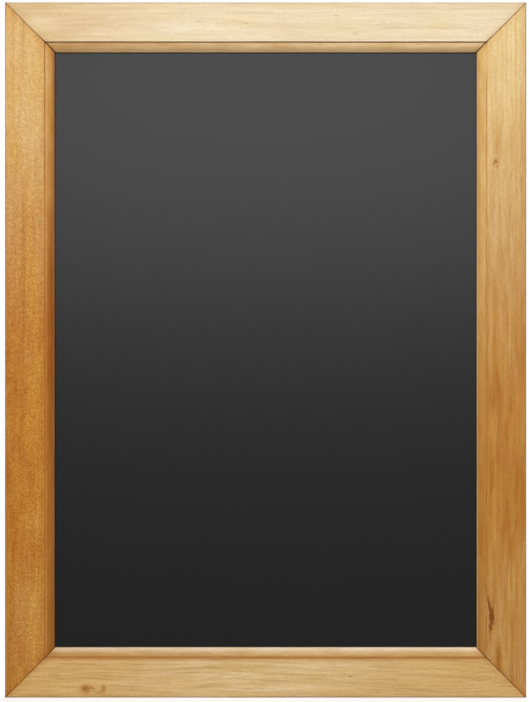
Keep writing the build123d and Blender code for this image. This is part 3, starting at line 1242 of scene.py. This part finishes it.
white = (1, 1, 1, 1)
fill_strength = 0.06
floor_half = 14.0
floor_glow = 0.63
floor_paint = shade(200, 200, 198)
shadow_paint = shade(190, 190, 190)
shadow_half_x = 0.6
shadow_half_y = 0.35
shadow_fade = 0.55


def seen_ray(tree):
    """1 for what is seen straight, in a gloss or through glass, and 0 for light that spreads."""
    path = first_node(tree, "ShaderNodeLightPath").outputs
    seen = maths("MAXIMUM", path["Is Camera Ray"], path["Is Glossy Ray"])
    return maths("MAXIMUM", seen, path["Is Transmission Ray"])


def mix_shaders(share, first, second):
    """Two shaders mixed by a share from 0 to 1."""
    shaders = {0: share, 1: first.outputs[0], 2: second.outputs[0]}
    return node("ShaderNodeMixShader", shaders)


def white_room():
    """A world that is seen as white and gives a little even light."""
    room = bpy.data.worlds.new("white_room")
    room.use_nodes = True
    tree = room.node_tree
    tree.nodes.clear()
    fill = first_node(tree, "ShaderNodeBackground", Color=white, Strength=fill_strength)
    wall = first_node(tree, "ShaderNodeBackground", Color=white, Strength=1.0)
    either = mix_shaders(seen_ray(tree), fill, wall)
    node("ShaderNodeOutputWorld", {"Surface": either.outputs[0]})
    return room


def pale_floor():
    """A floor that is seen as white, apart from the board's shadow, and spreads light as paint does."""
    material, shader, spot = new_material("pale_floor")
    tree = material.node_tree
    near = place_maths("MULTIPLY", spot, (1 / shadow_half_x, 1 / shadow_half_y, 0))
    away = node("ShaderNodeVectorMath", {0: near}, operation="LENGTH").outputs["Value"]
    far_off = first_node(tree, "ShaderNodeEmission", Color=white, Strength=1.0)
    glow = first_node(tree, "ShaderNodeEmission", Color=white, Strength=floor_glow)
    shaded = first_node(tree, "ShaderNodeBsdfDiffuse", Color=shadow_paint)
    lit = node("ShaderNodeAddShader", {0: glow.outputs[0], 1: shaded.outputs[0]})
    shown = mix_shaders(step(away, shadow_fade, 1.0), lit, far_off)
    paint = first_node(tree, "ShaderNodeBsdfDiffuse", Color=floor_paint)
    either = mix_shaders(seen_ray(tree), paint, shown)
    feed(tree.nodes["Material Output"], {"Surface": either.outputs[0]})
    tree.nodes.remove(shader)
    return material


bpy.context.scene.world = white_room()
floor_ends = (-floor_half, floor_half)
floor_corners = [(x, y, -half_height) for x in floor_ends for y in floor_ends]
floor_mesh = bpy.data.meshes.new("floor")
floor_mesh.from_pydata(floor_corners, [], [(0, 2, 3, 1)])
floor_mesh.materials.append(pale_floor())
new_piece("floor", floor_mesh)


def softbox(name, place, aim, width, height, power):
    """A rectangular lamp at a place, turned to its aim; power is in watts."""
    lamp = bpy.data.lights.new(name, "AREA")
    lamp.shape = "RECTANGLE"
    lamp.size = width
    lamp.size_y = height
    lamp.energy = power
    holder = bpy.data.objects.new(name, lamp)
    holder.location = place
    holder.rotation_euler = (Vector(aim) - Vector(place)).to_track_quat("-Z", "Y").to_euler()
    bpy.context.scene.collection.objects.link(holder)


softbox("key_softbox", (0, -2.2, 0.73), (0, 0, 0.73), 2.1, 1.06, 47)
softbox("overhead_softbox", (0, -1.2, 2.9), (0, 0, 0), 2.0, 1.0, 18)
softbox("left_softbox", (-2.2, -1.7, 0.0), (0, 0, 0), 1.0, 1.4, 9)
softbox("back_softbox", (0.9, 2.6, 1.6), (0, 0, 0), 1.8, 1.2, 84)
softbox("left_edge_softbox", (-2.4, 0.45, 0), (0, 0, 0), 0.8, 0.7, 12)
softbox("right_edge_softbox", (2.4, 0.45, 0), (0, 0, 0), 0.8, 0.7, 12)

# Camera: square to the board at its middle height, a little under two metres off, and framed so that
# the board lies where it does in the photograph.

photo_width = 529
photo_height = 702
board_height_in_photo = 696.0
board_middle_in_photo = (265.65, 350.0)
camera_distance = 1.7
pixel = 2 * half_height / board_height_in_photo

camera = bpy.data.cameras.new("camera")
camera.sensor_width = 36.0
camera.lens = camera.sensor_width * camera_distance / (photo_height * pixel)
camera_holder = bpy.data.objects.new("camera", camera)
camera_holder.location = (
    (photo_width / 2 - board_middle_in_photo[0]) * pixel,
    front_y - camera_distance,
    (board_middle_in_photo[1] - photo_height / 2) * pixel,
)
camera_holder.rotation_euler = (math.radians(90), 0, 0)
bpy.context.scene.collection.objects.link(camera_holder)
bpy.context.scene.camera = camera_holder
bpy.context.scene.view_settings.view_transform = "Standard"
